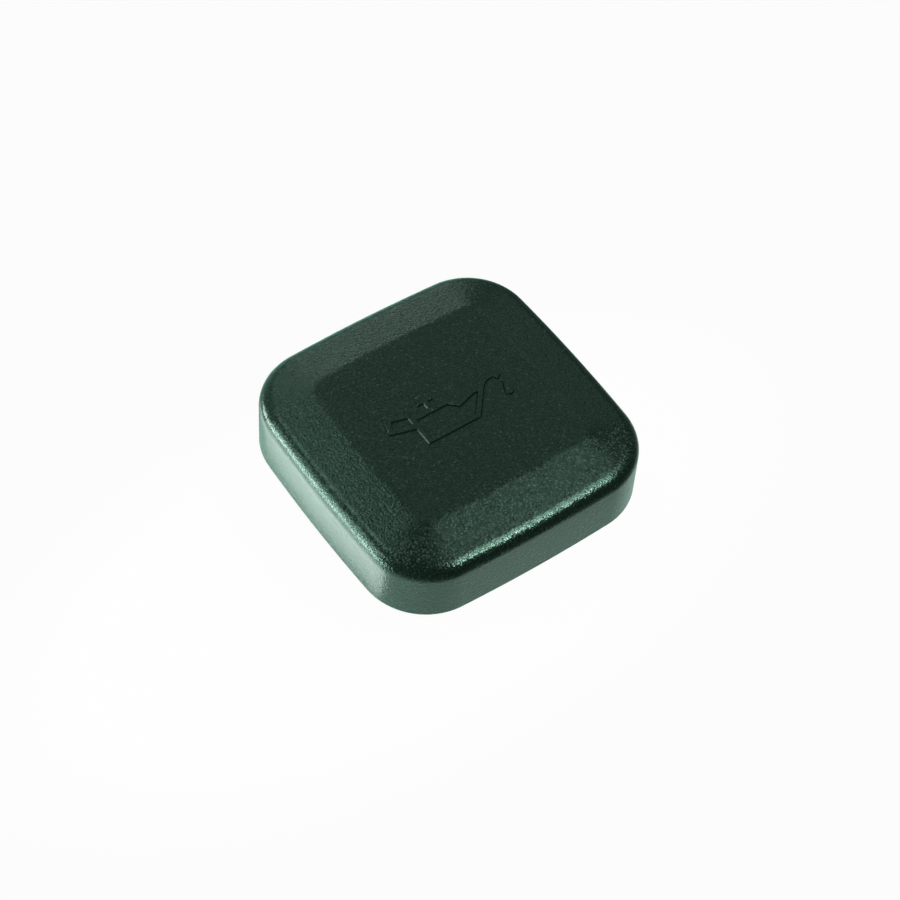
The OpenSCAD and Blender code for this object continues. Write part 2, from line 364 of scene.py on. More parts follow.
class Shader:
    """Builds one material's nodes."""

    def __init__(self, name: str) -> None:
        """Starts an empty node material.

        Args:
            name: The material's name.
        """
        self.material = bpy.data.materials.new(name)
        self.material.use_nodes = True
        self.tree = self.material.node_tree
        self.tree.nodes.clear()

    def node(self, kind: str, settings: dict, inputs: dict, output: object = 0) -> Signal:
        """Adds any node.

        Args:
            kind: The node's type.
            settings: Attributes that are set first.
            inputs: Values or signals by socket name or number.
            output: Name or number of the output that is wanted.

        Returns:
            The wanted output.
        """
        made = self.tree.nodes.new(kind)
        for key, value in settings.items():
            setattr(made, key, value)
        for key, value in inputs.items():
            if isinstance(value, Signal):
                self.tree.links.new(value.socket, made.inputs[key])
            else:
                made.inputs[key].default_value = value
        return Signal(self, made.outputs[output])

    def place(self) -> Signal:
        """Gives the object coordinates, in metres."""
        return self.node("ShaderNodeTexCoord", {}, {}, "Object")

    def noise(self, size: float, detail: float = 2.0, rough: float = 0.5, stretch: tuple | None = None) -> Signal:
        """Gives a noise.

        Args:
            size: Size of its blobs, in millimetres.
            detail: Number of finer layers.
            rough: Strength of the finer layers.
            stretch: Factors on the coordinates, if its blobs are drawn out.

        Returns:
            The noise, from 0 to 1.
        """
        where = self.place()
        if stretch:
            where = self.node("ShaderNodeVectorMath", {"operation": "MULTIPLY"}, {0: where, 1: stretch})
        settings = {"noise_dimensions": "3D"}
        values = {"Vector": where, "Scale": 1.0 / (size * MM), "Detail": detail, "Roughness": rough}
        return self.node("ShaderNodeTexNoise", settings, values, "Fac")

    def cells(self, size: float) -> Signal:
        """Gives the distance to the nearest of scattered points about size millimetres apart, in cell widths."""
        values = {"Vector": self.place(), "Scale": 1.0 / (size * MM)}
        return self.node("ShaderNodeTexVoronoi", {"feature": "F1"}, values, "Distance")

    def mix(self, factor: object, first: object, second: object) -> Signal:
        """Blends two colours."""
        return self.node("ShaderNodeMix", {"data_type": "RGBA"}, {"Factor": factor, 6: first, 7: second}, 2)

    def bump(self, height: Signal, distance: float) -> Signal:
        """Turns a height into a normal, with the distance in millimetres."""
        values = {"Height": height, "Distance": distance * MM, "Strength": 1.0}
        return self.node("ShaderNodeBump", {}, values, "Normal")

    def surface(self, **sockets: object) -> Signal:
        """Makes a surface from the sockets of a Principled shader, named with _ for a space."""
        values = {key.replace("_", " "): value for key, value in sockets.items()}
        return self.node("ShaderNodeBsdfPrincipled", {}, values, "BSDF")

    def finish(self, surface: Signal) -> bpy.types.Material:
        """Gives the material its surface.

        Args:
            surface: The shader that it shows.

        Returns:
            The material.
        """
        out = self.tree.nodes.new("ShaderNodeOutputMaterial")
        self.tree.links.new(surface.socket, out.inputs["Surface"])
        return self.material


@dataclass(frozen=True)
class GrainedPlastic:
    """Dark green-black plastic with a fine spark-eroded grain. Sizes are in millimetres, and places in metres."""

    colour: tuple = (0.0046, 0.0132, 0.0086, 1.0)
    light: tuple = (0.0102, 0.0258, 0.0172, 1.0)
    dark: tuple = (0.0020, 0.0064, 0.0040, 1.0)
    # Colour of the painted glints on the grain.
    painted_glint: tuple = (0.055, 0.095, 0.075, 1.0)
    # Colour of the painted sparkle on the lit -Y shoulder.
    painted_sparkle: tuple = (0.075, 0.120, 0.092, 1.0)
    # Near-black colour of the pictogram's walls: painted shade.
    painted_wall_shade: tuple = (0.0015, 0.004, 0.003, 1.0)
    gloss: tuple = (0.54, 1.0, 0.78, 1.0)
    sheen: tuple = (0.45, 1.0, 0.78, 1.0)
    rough: float = 0.21
    bare_rough: float = 0.3
    grain_size: float = 0.40
    coarse_size: float = 0.8
    cloud_size: float = 16.0
    speck_size: float = 0.52
    depth: float = 0.058
    # Across and height ranges of the painted sparkle: the -Y shoulder, which faces the front lamps.
    painted_sparkle_across: tuple = (-21.5 * MM, -19.5 * MM)
    painted_sparkle_from: tuple = (8.9 * MM, 9.5 * MM)
    wall_foot: tuple = (11.402 * MM, 11.408 * MM)
    wall_head: tuple = (11.67 * MM, 11.695 * MM)

    def make(self) -> bpy.types.Material:
        """Builds the material: grain, uneven colour and gloss, scuffs, painted glints and painted sparkle, and smooth
        walls round the strokes whose colour is darkened as painted shade.

        Returns:
            The material.
        """
        shader = Shader("cover_plastic")
        grain = shader.noise(self.grain_size, 1.5, 0.6)
        coarse = shader.noise(self.coarse_size, 2.0, 0.5)
        cloud = shader.noise(self.cloud_size, 3.0, 0.5)
        glint = 1 - shader.cells(self.coarse_size).above(0.10, 0.34)
        colour = shader.mix(grain.above(0.36, 0.66), self.dark, self.light)
        colour = shader.mix(cloud.above(0.3, 0.7) * 0.3, colour, self.colour)
        # Pale specks mixed into the colour where the grain's cells peak: painted glints.
        colour = shader.mix(glint * coarse.above(0.45, 0.65) * 0.6, colour, self.painted_glint)
        scuff = shader.noise(1.6, 4.0, 0.7, (0.35, 1.5, 1.0)).above(0.66, 0.74) * cloud.above(0.52, 0.66)
        colour = shader.mix(scuff * 0.25, colour, self.light)
        across = shader.node("ShaderNodeSeparateXYZ", {}, {0: shader.place()}, "Y")
        level = across.beside("Z")
        # Pale specks on the -Y shoulder only, the side that catches the front lamps: painted sparkle of highlights.
        speck = (1 - shader.cells(self.speck_size).above(0.14, 0.50)) * shader.noise(1.1, 2.0, 0.6).above(0.34, 0.60)
        painted_sparkle_mask = (1 - across.above(*self.painted_sparkle_across)) * level.above(*self.painted_sparkle_from)
        colour = shader.mix(speck * painted_sparkle_mask * 0.9, colour, self.painted_sparkle)
        # Mask of the pictogram's walls, from the flat's level up to the strokes' heads.
        wall = level.above(*self.wall_foot) * (1 - level.above(*self.wall_head))
        height = grain * 0.85 + coarse * 0.85 + glint * 0.4
        grained = shader.surface(
            Base_Color=colour,
            Roughness=self.rough + (cloud - 0.5) * 0.06 + (coarse - 0.5) * 0.16 - glint * 0.08,
            IOR=1.55,
            Specular_Tint=self.gloss,
            Sheen_Weight=0.75,
            Sheen_Roughness=0.35,
            Sheen_Tint=self.sheen,
            Normal=shader.bump(height, self.depth),
        )
        # Smooth ungrained surface of the walls, without sheen; its near-black colour is painted shade that draws dark
        # lines along the strokes.
        smooth = shader.surface(Base_Color=self.painted_wall_shade, Roughness=self.bare_rough, IOR=1.5, Specular_Tint=self.gloss)
        return shader.finish(shader.node("ShaderNodeMixShader", {}, {0: wall, 1: grained, 2: smooth}))


@dataclass(frozen=True)
class BlackPlastic:
    """Black glass-filled plastic of the plug, with flow marks and slightly uneven gloss."""

    colour: tuple = (0.011, 0.012, 0.012, 1.0)
    light: tuple = (0.026, 0.027, 0.026, 1.0)
    rough: float = 0.38

    def make(self) -> bpy.types.Material:
        """Builds the material: long soft flow marks, fibre specks and slightly uneven gloss.

        Returns:
            The material.
        """
        shader = Shader("plug_plastic")
        flow = shader.noise(3.2, 3.0, 0.55, (0.5, 0.5, 1.6))
        fine = shader.noise(0.35, 3.0, 0.6)
        fibre = shader.noise(0.5, 2.0, 0.6, (0.25, 1.3, 1.0)).above(0.62, 0.72)
        colour = shader.mix(flow.above(0.35, 0.7) * 0.7, self.colour, self.light)
        colour = shader.mix(fibre * 0.35, colour, self.light)
        return shader.finish(shader.surface(
            Base_Color=colour,
            Roughness=self.rough + (flow - 0.5) * 0.22 + (fine - 0.5) * 0.1,
            IOR=1.5,
            Normal=shader.bump(fine * 0.5 + flow * 0.8, 0.02),
        ))


@dataclass(frozen=True)
class SealRubber:
    """Matt black rubber of the seal, with a pale bloom in places."""

    colour: tuple = (0.008, 0.008, 0.009, 1.0)
    bloom: tuple = (0.035, 0.036, 0.037, 1.0)

    def make(self) -> bpy.types.Material:
        """Builds the material: dull skin, uneven bloom and fine pitting.

        Returns:
            The material.
        """
        shader = Shader("seal_rubber")
        bloom = shader.noise(5.0, 4.0, 0.65)
        fine = shader.noise(0.25, 2.0, 0.6)
        colour = shader.mix(bloom.above(0.45, 0.75) * 0.6, self.colour, self.bloom)
        return shader.finish(shader.surface(
            Base_Color=colour,
            Roughness=0.72 + (bloom - 0.5) * 0.2,
            IOR=1.5,
            Normal=shader.bump(fine, 0.02),
        ))


# ---- the cover

@dataclass
class BowedSquare:
    """Plan of the cover: a square whose sides bow out on a large arc, with round corners."""

    half_w: float = 32.0
    corner_r: float = 14.1
    bow_r: float = 394.0

    def __post_init__(self) -> None:
        """Works out the centres of the arcs and the angle at which they meet."""
        self.bow_c = self.half_w - self.bow_r
        gap = self.bow_r - self.corner_r
        self.corner_c = (self.bow_c + math.sqrt(2 * gap * gap - self.bow_c * self.bow_c)) / 2
        self.meet = math.atan2(self.corner_c, self.corner_c - self.bow_c)

    def angles(self, quarter: int, side: int) -> np.ndarray:
        """Gives the directions of the outline's points, from the middle of the -Y side anticlockwise.

        Args:
            quarter: Number of points in a quarter of the outline.
            side: Number of steps that each half of a side takes.

        Returns:
            The angle of the outline's normal at each point.
        """
        step = np.arange(quarter) / quarter
        share = side / quarter
        right = math.pi / 2
        turn = np.interp(step, [0, share, 1 - share, 1], [0, self.meet, right - self.meet, right])
        return np.concatenate([turn + k * right for k in range(4)]) - right

    def outline(self, angle: np.ndarray, inset: np.ndarray) -> np.ndarray:
        """Gives the outline moved in by each inset: the arc's centre plus its shortened radius along the normal.

        Args:
            angle: Angle of the normal at each point, (m,).
            inset: Distances that the outline lies inside the first one, (n,).

        Returns:
            The points, (n, m, 2).
        """
        right = math.pi / 2
        turn = np.round(angle / right) * right
        local = angle - turn
        on_side = np.abs(local) <= self.meet + 1e-9
        centre_x = np.where(on_side, self.bow_c, self.corner_c)
        centre_y = np.where(on_side, 0.0, np.sign(local) * self.corner_c)
        radius = np.where(on_side, self.bow_r, self.corner_r)[None] - np.asarray(inset)[:, None]
        x = centre_x + radius * np.cos(local)
        y = centre_y + radius * np.sin(local)
        c, s = np.cos(turn), np.sin(turn)
        return np.stack([x * c - y * s, x * s + y * c], axis=-1)

    def reach(self, direction: float, inset: np.ndarray) -> np.ndarray:
        """Gives how far each inset outline lies from the axis in one direction, read off its points by angle.

        Args:
            direction: The direction, in degrees.
            inset: Distances that the outline lies inside the first one, (n,).

        Returns:
            The distances from the axis, (n,).
        """
        angle = self.angles(360, 90)
        loops = self.outline(angle, inset)
        found = np.unwrap(np.arctan2(loops[..., 1], loops[..., 0]), axis=1)
        far = np.hypot(loops[..., 0], loops[..., 1])
        want = math.radians(direction)
        want += 2 * math.pi * (want < found[0, 0])
        return np.array([np.interp(want, f, r) for f, r in zip(found, far)])


@dataclass
class CoverProfile:
    """Section through the cover's wall, as distance in from the side and height."""

    top_z: float = 11.4
    skirt_z: float = -5.0
    wall: float = 2.5
    rim_r: float = 3.7
    shoulder_w: float = 11.1
    slope: float = 11.0
    crease_r: float = 6.0
    draft: float = 0.4
    edge_r: float = 0.6
    inner_edge_r: float = 0.45

    def __post_init__(self) -> None:
        """Works out the height of the rim's centre."""
        slope = math.radians(self.slope)
        self.rise = (self.shoulder_w - self.rim_r * (1 - math.sin(slope))) * math.tan(slope)
        self.rim_z = self.top_z - self.rise - self.rim_r * math.cos(slope)

    def skin(self, depth: float, rim_steps: int, crease_steps: int) -> np.ndarray:
        """Gives one face of the wall from the flat down to the foot: two arcs joined by a straight slope.

        Args:
            depth: Distance of the face inside the outer one.
            rim_steps: Steps round the rim.
            crease_steps: Steps round the crease between the slope and the flat.

        Returns:
            Points of (distance in, height), from the flat to the top of the skirt.
        """
        crease_x = self.shoulder_w + self.crease_r * math.tan(math.radians(self.slope / 2))
        joint = 90 + self.slope
        crease = sweep((crease_x, self.top_z - self.crease_r), self.crease_r - depth, 90, joint, crease_steps)
        rim = sweep((self.rim_r, self.rim_z), self.rim_r - depth, joint, 180, rim_steps)
        return np.concatenate([crease, between(crease[-1], rim[0], 3), rim])

    def whole(self) -> np.ndarray:
        """Gives the whole wall: outer face, rounded foot, and inner face up to the roof.

        Returns:
            Points of (distance in, height), from the flat round to the roof.
        """
        outer = self.skin(0.0, 14, 5)
        inner = self.skin(self.wall, 6, 2)[::-1]
        lean = math.tan(math.radians(self.draft))
        edge_z = self.skirt_z + self.edge_r
        foot_z = self.skirt_z + self.inner_edge_r
        foot = sweep((self.edge_r - (self.rim_z - edge_z) * lean, edge_z), self.edge_r, 180, 270, 4)
        inner_x = self.wall - self.inner_edge_r - (self.rim_z - foot_z) * lean * 0.2
        heel = sweep((inner_x, foot_z), self.inner_edge_r, 270, 360, 3)
        return np.concatenate([
            outer, between(outer[-1], foot[0], 3), foot, between(foot[-1], heel[0], 2),
            heel, between(heel[-1], inner[0], 2), inner,
        ])

    def middle(self, inset: np.ndarray) -> np.ndarray:
        """Gives the height of the middle of the wall over each distance in."""
        face = self.skin(self.wall / 2, 12, 4)[::-1]
        return np.interp(inset, face[:, 0], face[:, 1])


@dataclass
class Pictogram:
    """Raised outline of an oil can: handle, body, filler knob, spout and drop. Generic symbol, in millimetres."""

    height: float = 0.30
    wall: float = 0.19
    step: tuple = (0.20, 0.02)
    handle: tuple = ((-13.9, 1.0), (-8.2, -0.62), (-7.6, 0.4), (-7.6, 4.15), (-12.75, 5.3))
    handle_hole: tuple = ((-12.3, 2.2), (-8.38, 1.08), (-8.38, 2.62), (-11.65, 3.58))
    can: tuple = (
        (-8.38, -4.95), (4.25, -4.95), (9.55, 1.3), (10.15, 1.75), (11.1, 2.02), (11.95, 2.05), (12.95, 1.12),
        (13.95, 2.05), (12.75, 3.3), (12.1, 3.62), (11.3, 3.52), (10.75, 3.8), (9.6, 3.3), (8.35, 2.55),
        (3.0, 1.05), (1.05, 2.68), (-8.38, 2.68),
    )
    can_hole: tuple = (
        (-7.1, -3.65), (3.65, -3.65), (7.2, 0.62), (6.6, 0.72), (2.25, -0.55), (0.45, 1.22), (-7.1, 1.22),
    )
    knob: tuple = ((-5.05, 4.05), (-1.05, 4.05), (-1.05, 5.4), (-4.85, 5.4))
    post: tuple = ((-3.68, 2.4), (-2.4, 2.4), (-2.4, 4.3), (-3.68, 4.3))
    drop: tuple = (
        (13.15, 0.55), (13.55, -0.75), (13.85, -2.0), (13.9, -2.75), (13.5, -3.3), (12.9, -3.5),
        (12.3, -3.35), (11.9, -2.85), (12.05, -2.2), (12.6, -0.9),
    )

    @staticmethod
    def distance(x: np.ndarray, y: np.ndarray, corners: tuple) -> np.ndarray:
        """Gives the distance of each place to a closed outline, below zero inside it.

        The nearest point of each side is found by projecting on it, and a place is inside
        where a line towards +X crosses the outline an odd number of times.

        Args:
            x: Places across.
            y: Places up.
            corners: The outline's corners.

        Returns:
            The signed distances, shaped as x.
        """
        a = np.asarray(corners, float)
        b = np.roll(a, -1, axis=0)
        px, py = x[..., None] - a[:, 0], y[..., None] - a[:, 1]
        dx, dy = (b - a)[:, 0], (b - a)[:, 1]
        share = np.clip((px * dx + py * dy) / (dx * dx + dy * dy), 0, 1)
        away = np.hypot(px - share * dx, py - share * dy).min(-1)
        spans = (a[:, 1] > y[..., None]) != (b[:, 1] > y[..., None])
        crossing = a[:, 0] + (y[..., None] - a[:, 1]) * dx / np.where(dy == 0, 1e-9, dy)
        inside = ((spans & (x[..., None] < crossing)).sum(-1) % 2) == 1
        return np.where(inside, -away, away)

    def nearest(self, x: np.ndarray, y: np.ndarray) -> np.ndarray:
        """Gives the signed distance of each place to the edge of the strokes, below zero on them.

        Args:
            x: Places across.
            y: Places up.

        Returns:
            The distances, shaped as x.
        """
        handle = np.maximum(self.distance(x, y, self.handle), -self.distance(x, y, self.handle_hole))
        can = np.maximum(self.distance(x, y, self.can), -self.distance(x, y, self.can_hole))
        others = [self.distance(x, y, outline) for outline in (self.knob, self.post, self.drop)]
        return np.minimum.reduce([handle, can, *others])

    def relief(self, x: np.ndarray, y: np.ndarray, cell: float) -> np.ndarray:
        """Gives the grid over the flat with the strokes raised and their walls crisp.

        A place within half a cell of the head or foot of a wall, or of the edge of the faint step
        round it, moves on to that line along the slope of the distance; heights go straight between.

        Args:
            x: Places across.
            y: Places up.
            cell: Width of a cell of the grid.

        Returns:
            The moved places and their heights over the flat, shaped as x with three values each.
        """
        away = self.nearest(x, y)
        small = 0.02
        slope_x = (self.nearest(x + small, y) - self.nearest(x - small, y)) / (2 * small)
        slope_y = (self.nearest(x, y + small) - self.nearest(x, y - small)) / (2 * small)
        edges = np.array([-self.wall, 0.0, self.step[0]])
        to_edge = edges - away[..., None]
        closest = np.abs(to_edge).argmin(-1)
        move = np.take_along_axis(to_edge, closest[..., None], -1)[..., 0]
        move = np.where(np.abs(move) < 0.5 * cell, move, 0.0)
        x, y = x + move * slope_x, y + move * slope_y
        height = np.interp(away + move, edges, [self.height, self.step[1], 0.0])
        return np.stack([x, y, height], axis=-1)


@dataclass
class Cover:
    """The moulded cover: bowed shell with its pictogram, and the collar, hooks and ribs under it."""

    plan: BowedSquare = field(default_factory=BowedSquare)
    profile: CoverProfile = field(default_factory=CoverProfile)
    pictogram: Pictogram = field(default_factory=Pictogram)
    patch: tuple = (-14.7, 14.7, -5.9, 6.1)
    cells: tuple = (268, 112)
    side_steps: int = 44
    collar: tuple = (25.95, 27.45)
    collar_low: float = 1.0
    slit_top: float = 7.7
    hook_w: float = 8.0
    slit_w: float = 0.9
    rib_t: float = 1.3
    rib_pitch: float = 11.0
    shells: Shells = field(default_factory=lambda: Shells("cover_moulding"))

    def shell(self) -> None:
        """Adds the outer shell: the profile carried round the plan, closed by the patch with the pictogram.

        The patch is a grid whose height is the flat plus the pictogram's relief. Its edge joins
        the flat's outline by straight lines, and the roof inside closes on its middle.
        """
        nx, ny = self.cells
        x0, x1, y0, y1 = self.patch
        x, y = np.meshgrid(np.linspace(x0, x1, nx + 1), np.linspace(y0, y1, ny + 1))
        relief = self.pictogram.relief(x, y, (x1 - x0) / nx)
        grid = np.arange((nx + 1) * (ny + 1)).reshape(ny + 1, nx + 1)
        edge = np.concatenate([grid[0, :-1], grid[:-1, -1], grid[-1, :0:-1], grid[:0:-1, 0]])
        edge = np.roll(edge, -nx // 2)
        patch = (relief + np.array([0, 0, self.profile.top_z])).reshape(-1, 3)
        inner = np.stack([grid[:-1, :-1], grid[:-1, 1:], grid[1:, 1:], grid[1:, :-1]], axis=-1).reshape(-1, 4)

        wall = self.profile.whole()
        angle = self.plan.angles(len(edge) // 4, self.side_steps)
        loops = self.plan.outline(angle, wall[:, 0])
        height = np.broadcast_to(wall[:, 1][:, None], loops.shape[:2])
        rings = np.concatenate([loops, height[..., None]], axis=-1)
        share = np.array([0.34, 0.67, 0.93])[:, None, None]
        flat = patch[edge][None] * (1 - share) + rings[:1] * share
        roof_share = np.array([0.05, 0.5, 0.92])[:, None, None]
        roof = rings[-1:] * (1 - roof_share) + np.array([0, 0, wall[-1, 1]]) * roof_share
        rings = np.concatenate([flat, rings, roof])
        n, m = rings.shape[:2]
        index = len(patch) + np.arange(n * m).reshape(n, m)
        index = np.concatenate([edge[None], index])
        a, b = index[:-1], index[1:]
        around = np.stack([a, np.roll(a, -1, axis=1), np.roll(b, -1, axis=1), b], axis=-1).reshape(-1, 4)
        points = np.concatenate([patch, rings.reshape(-1, 3), [[0, 0, wall[-1, 1]]]])
        last = index[-1]
        fan = np.stack([last, np.roll(last, -1), np.full(m, len(points) - 1)], axis=1)
        self.shells.add(points, np.concatenate([inner, around[:, ::-1]]), fan[:, ::-1])

    def collar_wall(self) -> None:
        """Adds the collar: a whole band above the slits, walls between them, and four hooks with noses."""
        low_r, high_r = self.collar
        mean = (low_r + high_r) / 2
        band = [(low_r, self.slit_top), (high_r, self.slit_top), (high_r, 10.0), (low_r, 10.0)]
        self.shells.ring(rounded(band, 0.12), 160)
        hook = math.degrees(math.asin(self.hook_w / 2 / mean))
        gap = math.degrees(self.slit_w / mean)
        wall = rounded(
            [(low_r, self.collar_low), (high_r, self.collar_low), (high_r, 7.95), (low_r, 7.95)], [0.3, 0.3, 0.1, 0.1]
        )
        nose = rounded(
            [(high_r, 0.6), (low_r, 0.6), (25.1, 1.5), (25.1, 2.3), (low_r, 2.3), (low_r, 7.95), (high_r, 7.95)],
            [0.3, 0.35, 0.25, 0.2, 0.12, 0.1, 0.1],
        )
        for k in range(4):
            self.shells.arc(nose, 90 * k - hook, 90 * k + hook, 0.22)
            self.shells.arc(wall, 90 * k + hook + gap, 90 * k + 90 - hook - gap, 0.2, 40)

    def ribs(self) -> None:
        """Adds the ribs between collar and skirt: each ends in the middle of the wall that it meets."""
        inset = np.linspace(1.2, 14.0, 24)
        height = self.profile.middle(inset)
        start = sum(self.collar) / 2
        for k in range(4):
            for i in range(-2, 3):
                angle = 45 + 90 * k + i * self.rib_pitch
                reach = self.plan.reach(angle, inset)
                kept = reach > start + 0.3
                upper = np.stack([reach[kept], height[kept]], axis=1)
                low = rounded([(start, self.collar_low), (reach[0], self.collar_low), (reach[0], 5), (start, 5)], 0.2)
                low = low[:10]
                end = [(start, float(np.interp(-start, -reach, height)))]
                self.shells.plate(np.concatenate([low, upper, end]), self.rib_t, angle, 0.28)

    def bearings(self) -> None:
        """Adds the ring that bears on the flange, and the four ribs that drive the plug."""
        ring = [(21.2, 4.7), (22.8, 4.7), (22.8, 10.0), (21.2, 10.0)]
        self.shells.ring(rounded(ring, [0.2, 0.2, 0.1, 0.1]), 128)
        rib = rounded([(12.5, 5.3), (22.0, 5.3), (22.0, 10.0), (12.5, 10.0)], 0.25)
        for k in range(4):
            self.shells.plate(rib, 2.0, 45 + 90 * k, 0.25)

    def build(self) -> bpy.types.Object:
        """Builds the cover, dresses it and sets it in place of its CAD node.

        Returns:
            The object.
        """
        self.shell()
        self.collar_wall()
        self.ribs()
        self.bearings()
        made = self.shells.build()
        smooth = np.arange(len(made.data.polygons)) >= self.cells[0] * self.cells[1]
        made.data.polygons.foreach_set("use_smooth", smooth)
        made.data.materials.append(GrainedPlastic().make())
        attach(made, "root")
        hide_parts("cover")
        return made


# ---- the plug and its seal

@dataclass
class BayonetPlug:
    """The moulded plug: flange with the seal's groove, tube, pilot nose, lugs, gussets and slotted crown."""

    lug_arc: float = 54.0
    lug_r: float = 20.2
    lug_top: float = -3.2
    lug_low: float = -6.8
    ramp_arc: float = 18.0
    ramp_angle: float = 14.0
    stop_arc: float = 6.0
    stop_w: float = 0.8
    bump_back: float = 7.0
    bump_r: float = 1.1
    bump_h: float = 0.4
    bump_w: float = 0.85
    ramp_r: float = 19.0
    shells: Shells = field(default_factory=lambda: Shells("bayonet_plug_moulding"))

    def body(self) -> None:
        """Adds the turned body: flange, groove and tube as one section whose corners are rounded."""
        corners = [
            (0.3, 2.5), (15.0, 2.5), (15.0, -13.15), (15.25, -13.4), (16.2, -13.4), (17.0, -12.6), (17.0, -7.2),
            (17.4, -6.8), (17.4, 2.5), (23.6, 2.5), (23.6, 1.0), (25.0, 1.0), (25.0, 2.4), (25.8, 2.4),
            (25.8, 4.3), (25.4, 4.7), (0.3, 4.7),
        ]
        radius = [0.1, 0.5, 0.12, 0.12, 0.25, 0.3, 0.2, 0.2, 0.3, 0.2, 0.3, 0.3, 0.15, 0.2, 0.15, 0.15, 0.1]
        outline = rounded(corners, radius)[5:-5]
        angle = np.linspace(0, 2 * math.pi, 160, endpoint=False)
        x = outline[:, 0][:, None] * np.cos(angle)
        y = outline[:, 0][:, None] * np.sin(angle)
        self.shells.loft(np.stack([x, y, np.broadcast_to(outline[:, 1][:, None], x.shape)], axis=-1))

    def lug_height(self, angle: np.ndarray) -> np.ndarray:
        """Gives the top of a lug: ramp up, level dwell, click bump, and the end stop as a smooth step.

        Args:
            angle: Angles from the lug's front end, in degrees.

        Returns:
            The heights.
        """
        ramp = np.clip(self.ramp_arc - angle, 0, None)
        z = self.lug_top - self.ramp_r * np.radians(ramp) * math.tan(math.radians(self.ramp_angle))
        middle = self.lug_arc - self.stop_arc - self.bump_back
        off = self.ramp_r * np.radians(angle - middle)
        arc = np.sqrt(np.clip(self.bump_r * self.bump_r - off * off, 0, None))
        bump = self.lug_top + self.bump_h - self.bump_r + arc
        z = np.maximum(z, np.where(np.abs(off) < self.bump_w, bump, z))
        share = np.clip((angle - (self.lug_arc - self.stop_arc)) / self.stop_w, 0, 1)
        return z + (0.0 - self.lug_top) * share * share * (3 - 2 * share)

    def lugs(self) -> None:
        """Adds the two lugs: at each angle a rounded section whose top follows the lug's height."""
        run = math.radians(self.lug_arc) * self.lug_r
        along, inset = rounded_ends(run, 0.35, 160)
        angle = np.degrees(along / self.lug_r)
        top = self.lug_height(angle) - inset
        low = self.lug_low + inset
        side = self.lug_r - inset
        arc = np.radians(np.linspace(0, 90, 5))
        out_low, out_top = 0.4, 0.25
        radius = np.concatenate([
            [16.4, 17.4], -out_low + out_low * np.sin(arc), -out_top + out_top * np.cos(arc), [17.4, 16.4],
        ])
        lift = np.concatenate([[0, 0], out_low - out_low * np.cos(arc), -out_top + out_top * np.sin(arc), [0, 0]])
        follows = np.arange(len(radius)) >= 7
        outer = np.array([False, False] + [True] * 10 + [False, False])
        r = np.where(outer[None], side[:, None] + radius[None], radius[None])
        z = np.where(follows[None], top[:, None], low[:, None]) + lift[None]
        for k in range(2):
            start = math.radians(90 + 180 * k - self.lug_arc / 2)
            self.shells.loft(turned(np.stack([r, z], axis=-1), start + along / self.lug_r))

    def gussets(self) -> None:
        """Adds the eight gussets between the tube and the plate, and the moulding marks on the plate."""
        corners = [(10.5, 2.7), (10.5, 2.45), (14.9, -3.5), (15.6, -3.5), (15.6, 2.7)]
        section = rounded(corners, [0.08, 0.1, 0.25, 0.1, 0.1])
        for k in range(8):
            self.shells.plate(section, 1.2, 45 * (k + 0.5), 0.22)
        for k in range(4):
            turn = math.radians(45 + 90 * k)
            self.shells.pad((7.4 * math.cos(turn), 7.4 * math.sin(turn)), 1.9, 2.6, 2.38)
        self.shells.pad((0.0, 0.0), 2.6, 2.6, 2.3)
        self.shells.pad((0.0, 0.0), 0.8, 2.4, 1.85, 0.15)

    def crown(self) -> None:
        """Adds the crown on top, open at the four slots that the cover's ribs drive."""
        section = rounded([(15.5, 4.2), (17.7, 4.2), (17.7, 8.3), (15.5, 8.3)], [0.1, 0.1, 0.3, 0.3])
        half = math.degrees(math.asin(1.15 / 16.6))
        for k in range(4):
            self.shells.arc(section, 45 + 90 * k + half, 135 + 90 * k - half, 0.25, 24)

    def build(self) -> bpy.types.Object:
        """Builds the plug, dresses it and sets it in place of its CAD node.

        Returns:
            The object.
        """
        self.body()
        self.lugs()
        self.gussets()
        self.crown()
        made = self.shells.build()
        made.data.materials.append(BlackPlastic().make())
        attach(made, "root")
        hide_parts("bayonet_plug")
        return made


@dataclass
class SealRing:
    """The rubber ring in the flange's groove, with its raised land."""

    def build(self) -> bpy.types.Object:
        """Builds the ring as one rounded section turned round the axis, dresses it and sets it in place.

        Returns:
            The object.
        """
        corners = [
            (17.55, 0.9), (20.608, 0.9), (20.9, 0.0), (22.5, 0.0),
            (22.792, 0.9), (23.45, 0.9), (23.45, 2.5), (17.55, 2.5),
        ]
        shells = Shells("seal_ring_rubber")
        shells.ring(rounded(corners, [0.3, 0.25, 0.3, 0.3, 0.2, 0.3, 0.3, 0.3]), 160)
        made = shells.build()
        made.data.materials.append(SealRubber().make())
        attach(made, "root")
        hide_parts("seal_ring")
        return made


# ---- studio

@dataclass(frozen=True)
class Lamp:
    """A soft area lamp: where it stands, how large it is and how bright."""

    name: str
    place: tuple
    size: tuple
    power: float
    aim: tuple = (0.0, 0.0, 0.005)

    def build(self) -> bpy.types.Object:
        """Makes the lamp and turns it towards its aim.

        Returns:
            The lamp.
        """
        data = bpy.data.lights.new(self.name, "AREA")
        data.shape = "RECTANGLE"
        data.size, data.size_y = self.size
        data.energy = self.power
        made = bpy.data.objects.new(self.name, data)
        made.location = self.place
        away = Vector(self.place) - Vector(self.aim)
        made.rotation_euler = away.to_track_quat("Z", "Y").to_euler()
        made.visible_camera = False
        bpy.context.scene.collection.objects.link(made)
        return made


